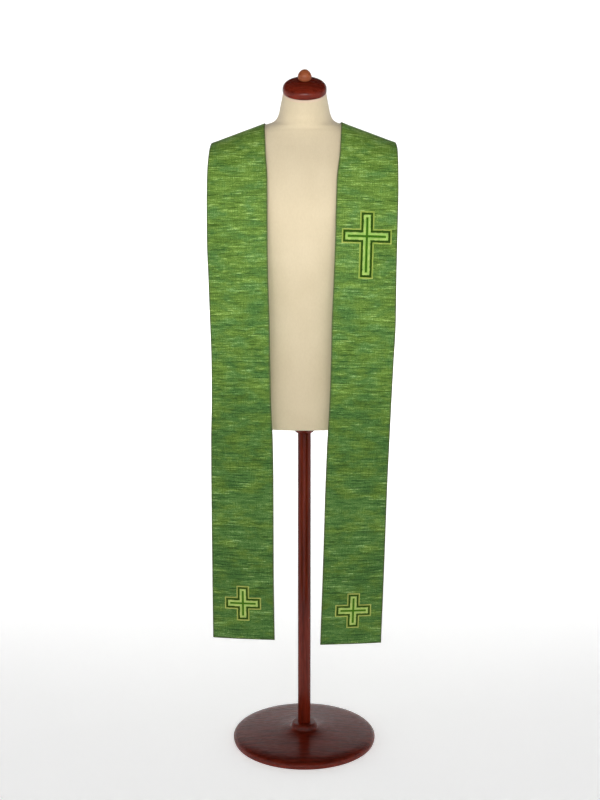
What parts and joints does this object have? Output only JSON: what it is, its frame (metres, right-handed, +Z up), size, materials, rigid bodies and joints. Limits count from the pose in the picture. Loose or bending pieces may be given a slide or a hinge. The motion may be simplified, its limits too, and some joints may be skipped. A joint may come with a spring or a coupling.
{
  "type": "clerical stole on a dress form",
  "caption": "Straight-cut green clerical stole with applied crosses, draped over the shoulders of a limbless padded dress form on a turned wooden stand",
  "frame": {"origin": "middle of the stand base's underside, on the floor, below the pole", "axes": "+Z up; the form faces -Y; +X is the wearer's left"},
  "size_m": [0.4646, 0.38, 1.7518],
  "materials": {
    "stole_cloth": "slubbed raw-silk look weave, low sheen",
    "embroidery": "satin stitch with a soft shine",
    "form_cover": "matt fine jersey knit",
    "form_wood": "glossy red-brown lacquer",
    "knob_wood": "satin light brown varnish"
  },
  "bodies": {
    "root": {"band_right": "stole_cloth", "band_left": "stole_cloth", "cross_chest": "embroidery", "cross_hem_right": "embroidery", "cross_hem_left": "embroidery", "form_body": "form_cover", "neck_cap": "form_wood", "cap_knob": "knob_wood", "stand_collar": "form_wood", "stand_pole": "form_wood", "stand_base": "form_wood"}
  },
  "joints": []
}
